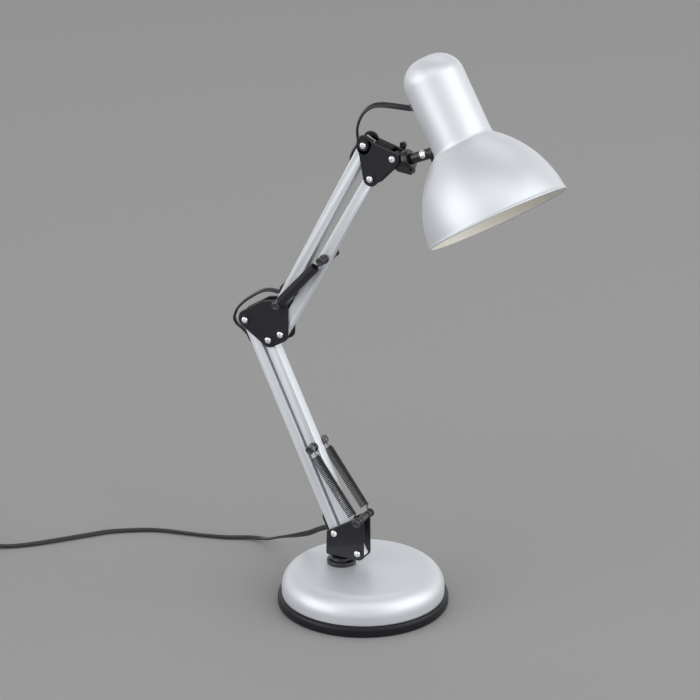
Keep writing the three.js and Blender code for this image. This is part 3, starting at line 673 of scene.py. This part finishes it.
holder = [(0, 80.2), (9, 80.2), (9, 68), (11.6, 67.5), (13.5, 64), (15.6, 58.5), (15.6, 41.5)]
for i in range(9):
    holder += [(16.1, 40.6 - 1.7 * i), (15.7, 39.8 - 1.7 * i)]
holder += [(15.6, 24.4), (15.2, 24.0), (13.6, 24.0), (13.3, 24.5), (13.3, 49.6), (0, 49.8)]
thread = [(13.25, 27.0)]
for i in range(6):
    thread += [(12.7, 28.2 + 3.2 * i), (13.2, 29.8 + 3.2 * i)]
thread += [(13.2, 48.0), (4, 49.2), (3.6, 47.6), (0, 47.4)]
clamp = [
    (16.4, 30), (21.3, 30), (21.5, 30.6), (21.5, 32.6), (20.6, 33.2), (17.9, 33.4), (17.5, 34.2),
    (17.5, 39.6), (17.0, 40), (16.4, 40), (16.4, 30),
]
socket = [lathe(rounded(holder, 0.4, 3), 64, SHADE, 0), lathe(rounded(thread, 0.6, 3), 56, SHADE, 1)]
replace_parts(build("lampholder_body", socket, [WHITE, BRASS], "shade", angle=45), "lampholder")
clamp_ring = [lathe(rounded(clamp, 0.3, 3), 64, SHADE)]
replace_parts(build("lampholder_clamp", clamp_ring, WHITE, "shade", angle=45), "lampholder_ring")


# ---------------------------------------------------------------- the flat lead through the arms
def in_bar(low, high, pairs):
    """Points (x, z) of a bar's own frame."""
    place = bar_frame(low, high)
    return [tuple(place @ Vector((x, 0, z))) for x, z in pairs]


L1, L2 = math.dist(S1, E1), math.dist(E4, H1)
grommet_end, in_grommet, in_shade = (radial @ Vector((0, 0, z)) for z in (33, 29, 24))
lead = [
    *in_bar(S1, E1, [
        (-5.8, -4), (-7.8, 3), (-8.4, 10), (-8.4, 16), (-5.4, 21.5), (-2.4, 28), (-1.6, 36), (-1.6, L1 / 2),
        (-1.6, L1 - 38), (-2.4, L1 - 32), (-5.4, L1 - 26), (-7.8, L1 - 20.5), (-8.4, L1 - 15),
    ]),
    (-125.5, 0, 252), (-131, 0, 255.5), (-134, 0, 260.5), (-133, 0, 265.5), (-130.5, 0, 271),
    (-123.5, 0, 279), (-113.5, 0, 286.9), (-103.5, 0, 293), (-97, 0, 294.8), (-91.5, 0, 295),
    (-87, 0, 294.5),
    *in_bar(E4, H1, [
        (-7.4, 7), (-7.6, 12), (-5.6, 17.5), (-2.4, 24), (-1.6, 32), (-1.6, L2 / 2), (-1.6, L2 - 40),
        (-2.2, L2 - 32), (-5.0, L2 - 26), (-7.6, L2 - 20.5), (-8.1, L2 - 14), (-7.8, L2 - 6),
    ]),
    (-6.5, 0, 463), (-3.5, 0, 472.8), (1.5, 0, 480.5), (9, 0, 486), (18, 0, 488.3), (26.7, 1.2, 488.4),
    tuple(grommet_end + Vector((-2.5, -0.8, 0.1))), tuple(grommet_end), tuple(in_grommet), tuple(in_shade),
]
lead = curve(lead, 1.4)


def nearest(point):
    """The lead's point that is nearest to a place."""
    return int(np.argmin(np.linalg.norm(lead - np.array(point), axis=1)))


elbow, head, tilt, turn, end = (
    nearest(p) for p in ((-113.5, 0, 286.9), (-6.3, 0, 458), (-1.0, 0, 477), (20.0, 0.2, 488.2), grommet_end)
)
lead_roll = np.interp(
    np.arange(len(lead)), [0, tilt, turn, end, len(lead) - 1], np.radians([0, 26, 55, 66, 70])
)
cuts = [0, elbow, head - 12, tilt - 4, turn, len(lead) - 1]
# each run's name, its two bodies, the CAD node it stands for, and a first and a last point; the loop below
# uses only the name and the node
runs = (
    ("lead_in_lower_arm", ("lower_rear", "elbow"), "lead_lower", -46, -1),
    ("lead_in_upper_arm", ("elbow", "upper_rear"), "lead_upper", 0, 22),
    ("lead_loop_low", ("upper_rear", "head"), None, 0, -1),
    ("lead_loop_top", ("head", "knuckle"), "lead_head", 0, -1),
    ("lead_loop_end", ("knuckle", "shade"), None, 0, -1),
)
for (name, bodies, node, first, last), a, b in zip(runs, cuts, cuts[1:]):
    part = lead[a : b + 1]
    across = np.tile((0.0, 1.0, 0.0), (len(part), 1))
    obj = build(name, [sweep(part, flat_section(), across, lead_roll[a : b + 1])], PVC, angle=60)
    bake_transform(obj)
    if node:
        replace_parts(obj, node)


# ---------------------------------------------------------------- mains cord
HEADING = Vector((-math.cos(SWITCH_TURN), -math.sin(SWITCH_TURN), 0))


def at_switch(s, z):
    """The point s mm past the switch's middle, along the cord."""
    return tuple(SWITCH + HEADING * s + Vector((0, 0, z)))


def wound():
    """Turns laid into the slots of the bundle's section, in an order in which none crosses another."""
    slots = [(33.7, 1.6), (28.1, 1.7), (28.2, 4.6), (33.8, 4.5), (28.3, 7.5), (33.9, 7.4)]
    out, start, last = [], math.radians(-56), math.radians(144)
    for k, (r, z) in enumerate(slots):
        r2, z2 = slots[min(k + 1, len(slots) - 1)]
        for i in range(24):
            s = i / 24
            if k == len(slots) - 1 and 2 * math.pi * s > last:
                break
            w = min(1, max(0, (s - 0.66) / 0.3))
            w = w * w * (3 - 2 * w)
            a = start - 2 * math.pi * (k + s)
            r3 = r + (r2 - r) * w + 0.22 * math.sin(3 * a)
            out.append((r3 * math.cos(a) + COIL.x, r3 * math.sin(a) + COIL.y, z + (z2 - z) * w))
    return out


PLUG_Y, PLUG_Z = -29, 8.8
mains = [
    (-30.4, 0, 68.2), (-34.5, 0.1, 68.0), (-39.0, 1.0, 67.0), (-45, 3.2, 63.8), (-52, 7.5, 59),
    (-65, 16, 49.7), (-82, 28.5, 39), (-100, 41.5, 28.4), (-118, 54.5, 18.2), (-135, 65, 8.6),
    (-148, 71, 4.0), (-161, 70.5, 2.4), (-180, 62.5, 1.9), (-200, 56.8, 1.9), (-220, 52.5, 1.9),
    (-240, 48.5, 1.9), (-258, 42, 1.9), (-275, 31.5, 1.9), (-290, 20, 1.9), (-304, 4, 1.9),
    (-318, -12.5, 1.9), (-331, -27.5, 1.9), (-344, -41, 1.9), (-355, -50, 1.9), (-366.5, -57.5, 2.6),
    at_switch(-30, 5.6), at_switch(-15, 6.4), at_switch(15, 6.4), at_switch(30, 5.4),
    (-438.5, -104.2, 3.6), (-448.5, -117.2, 2.2),
    *wound(),
    (-510.2, -80.5, 6.6), (-504.8, -65.5, 5.8), (-499.5, -51, 6.0), (-495.5, -40.5, 7.2),
    (-490.5, -32.5, 8.3), (-484.5, -29.4, PLUG_Z), (-478, PLUG_Y, PLUG_Z), (-466, PLUG_Y, PLUG_Z),
]
mains = curve(mains, 1.5)
roll = np.interp(
    mains[:, 0],
    [-388, -370, -330, -290, -262, -235, -205, -180, -150, -110, -80, -55, -42, -31],
    np.radians([0, -8, -20, -19, -12, -2, 2, -8, -14, 18, 62, 98, 108, 108]),
)
across = np.gradient(mains, axis=0)
across = np.stack([-across[:, 1], across[:, 0], np.zeros(len(across))], axis=1)
across /= np.linalg.norm(across, axis=1)[:, None]
HALF_WIDE, HALF_THICK, OFF_TABLE = 2.6, 1.25, 0.15
lowest = np.abs(np.sin(roll)) * HALF_WIDE + np.abs(np.cos(roll)) * HALF_THICK + OFF_TABLE
mains[:, 2] = np.maximum(mains[:, 2], lowest)
cord = build("mains_lead", [sweep(mains, flat_section(), across, roll)], PVC, angle=60)
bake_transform(cord)
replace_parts(cord, "cord", "cord_coil")

turned = Matrix.Translation(SWITCH) @ Matrix.Rotation(math.pi + SWITCH_TURN, 4, "Z")
lying_flat = turned @ LAID_FLAT


def pill(r, z0, z1, half=21):
    """A long rounded block lying along local x, from z0 to z1."""
    return slab(band([(-half, 0, r), (half, 0, r)]), z0, z1, 0, lying_flat)


well = [box((-9.4, -5.3, 6.0), (9.4, 5.3, 16), 0, turned)]
halves = [pill(8.5, 0.4, 6.7), pill(8.5, 6.9, 13.2)]
switch = recessed("switch_body", halves, well, BLACK, bevel=0.0, angle=50, outside=0.9)
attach(switch, "base")
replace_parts(switch, "cord_switch")
tip = turned @ Matrix.Translation((0, 0, 10)) @ Matrix.Rotation(ROCKER_TILT, 4, "Y")
rocker_side = [(-8.2, -1), (8.2, -1), (8.6, 3.6), (5.5, 2.9), (0, 2.4), (-5.5, 2.9), (-8.6, 3.6)]
rocker = build("switch_rocker_cap", [slab(rocker_side, -5, 5, 0, tip)], KNOB, "rocker", bevel=0.4, angle=40)
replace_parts(rocker, "switch_rocker")

lie = Matrix.Translation((-480, PLUG_Y, PLUG_Z)) @ SIDEWAYS
relief = [(0, -8), (2.9, -8), (3.1, -6)]
for i in range(6):
    r, z = 0.22 * i, 3 * i
    relief += [(3.3 + r, z - 5), (3.6 + r, z - 4.6), (3.6 + r, z - 2.8), (3.0 + r, z - 2.5)]
relief += [(4.6, 14), (6.6, 15.5), (7.9, 19), (8.2, 26), (8.2, 33), (7.4, 35.0), (0, 35.0)]
flat_block = band([(20.5, 0, 3.6), (33, 0, 3.6)])
face = slab(flat_block, -12.6, 12.6, 0, lie @ basis((0, 0, 1), (0, 1, 0), (-1, 0, 0)))
pin = rounded([(0, 34), (1.9, 34), (1.9, 45.5), (2.0, 45.6), (2.0, 52.6), (1.1, 54), (0, 54)], 0.3, 3)
pins = [lathe(pin, 24, lie @ Matrix.Translation((0, d, 0)), 1) for d in (-9.3, 9.3)]
plug_parts = [lathe(rounded(relief, 0.35, 3), 56, lie), face, *pins]
plug = build("mains_plug", plug_parts, [BLACK, ZINC], "base", bevel=0.8, angle=50)
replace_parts(plug, "plug")

TIE_TURN, TAIL_R = 0.9, 0.7
tie_at = Matrix.Translation(COIL) @ Matrix.Rotation(TIE_TURN, 4, "Z")
strap = band([(28.2, 4.5, 4.5), (33.8, 4.5, 4.5)], 40)
strap = curve([*[(x, 0, max(0.15, z)) for x, z in strap], (strap[0][0], 0.3, strap[0][1])], 0.8)
strap_section = [(1.3, 0.25), (-1.3, 0.25), (-1.3, -0.25), (1.3, -0.25)]
tails = [
    [(31, 0, 9.2), (31.4, -1.0, 11), (32.6, -3, 12.2), (35.5, -6, 11.8)],
    [(31, 0, 9.2), (30.6, 1.0, 11), (29.6, 3.2, 12.4), (27, 6.4, 12.2)],
]
tie_parts = [
    sweep([tie_at @ Vector(p) for p in strap], strap_section, (math.sin(TIE_TURN), -math.cos(TIE_TURN), 0)),
    *(sweep([tie_at @ Vector(p) for p in curve(t, 0.8)], round_section(TAIL_R), (0, 0, 1)) for t in tails),
]
tie = build("mains_tie", tie_parts, PVC, "base", angle=50)
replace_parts(tie, "cord_tie")

# ---------------------------------------------------------------- floor and light
bpy.ops.mesh.primitive_plane_add(size=14, location=(0, 0, -0.0002))
floor = bpy.context.object
floor.name = "floor"
floor.data.materials.append(FLOOR)
world = bpy.data.worlds.new("studio")
bpy.context.scene.world = world
world.use_nodes = True
nodes, links = world.node_tree.nodes, world.node_tree.links
# the surroundings are brightest at the horizon and below and fade upwards; the camera sees plain grey there
direction, split, tent = (nodes.new("ShaderNode" + kind) for kind in ("TexCoord", "SeparateXYZ", "MapRange"))
links.new(direction.outputs["Generated"], split.inputs["Vector"])
links.new(split.outputs["Z"], tent.inputs["Value"])
tent.inputs["To Min"].default_value, tent.inputs["To Max"].default_value = 1.16, 0.16
links.new(tent.outputs["Result"], nodes["Background"].inputs["Strength"])
nodes["Background"].inputs["Color"].default_value = (1, 1, 1, 1)
backdrop, ray, either = (nodes.new("ShaderNode" + kind) for kind in ("Background", "LightPath", "MixShader"))
backdrop.inputs["Color"].default_value = (0.28, 0.28, 0.28, 1)
for source, target in (
    (ray.outputs["Is Camera Ray"], either.inputs[0]),
    (nodes["Background"].outputs[0], either.inputs[1]),
    (backdrop.outputs[0], either.inputs[2]),
    (either.outputs[0], nodes["World Output"].inputs["Surface"]),
):
    links.new(source, target)
bpy.context.scene.view_settings.view_transform = "Standard"


def softbox(name, place, width, height, power, aim=(0, 0, 0.25)):
    """A rectangular light at place, turned to face aim."""
    light = bpy.data.lights.new(name, "AREA")
    light.shape, light.size, light.size_y, light.energy = "RECTANGLE", width, height, power
    obj = bpy.data.objects.new(name, light)
    obj.location = place
    obj.rotation_mode = "QUATERNION"
    obj.rotation_quaternion = (Vector(aim) - Vector(place)).to_track_quat("-Z", "Y")
    bpy.context.scene.collection.objects.link(obj)


right, front = Vector((math.cos(AZ), math.sin(AZ), 0)), Vector((math.sin(AZ), -math.cos(AZ), 0))
softbox("left", -right * 5.5 + front * 2.4 + Vector((0, 0, 2.3)), 6.4, 4.6, 175)
softbox("right", right * 5.1 + front * 2.2 + Vector((0, 0, 3.5)), 6.6, 5.2, 218)
softbox("side", right * 5.2 - front * 0.4 + Vector((0, 0, 1.3)), 3.0, 2.4, 20)
softbox("front", front * 2.6 + Vector((0, 0, 4.2)), 5.0, 2.4, 50)
softbox("far", -front * 1.8 + Vector((0, 0, 3.2)), 3.0, 2.0, 18, -front * 1.8)
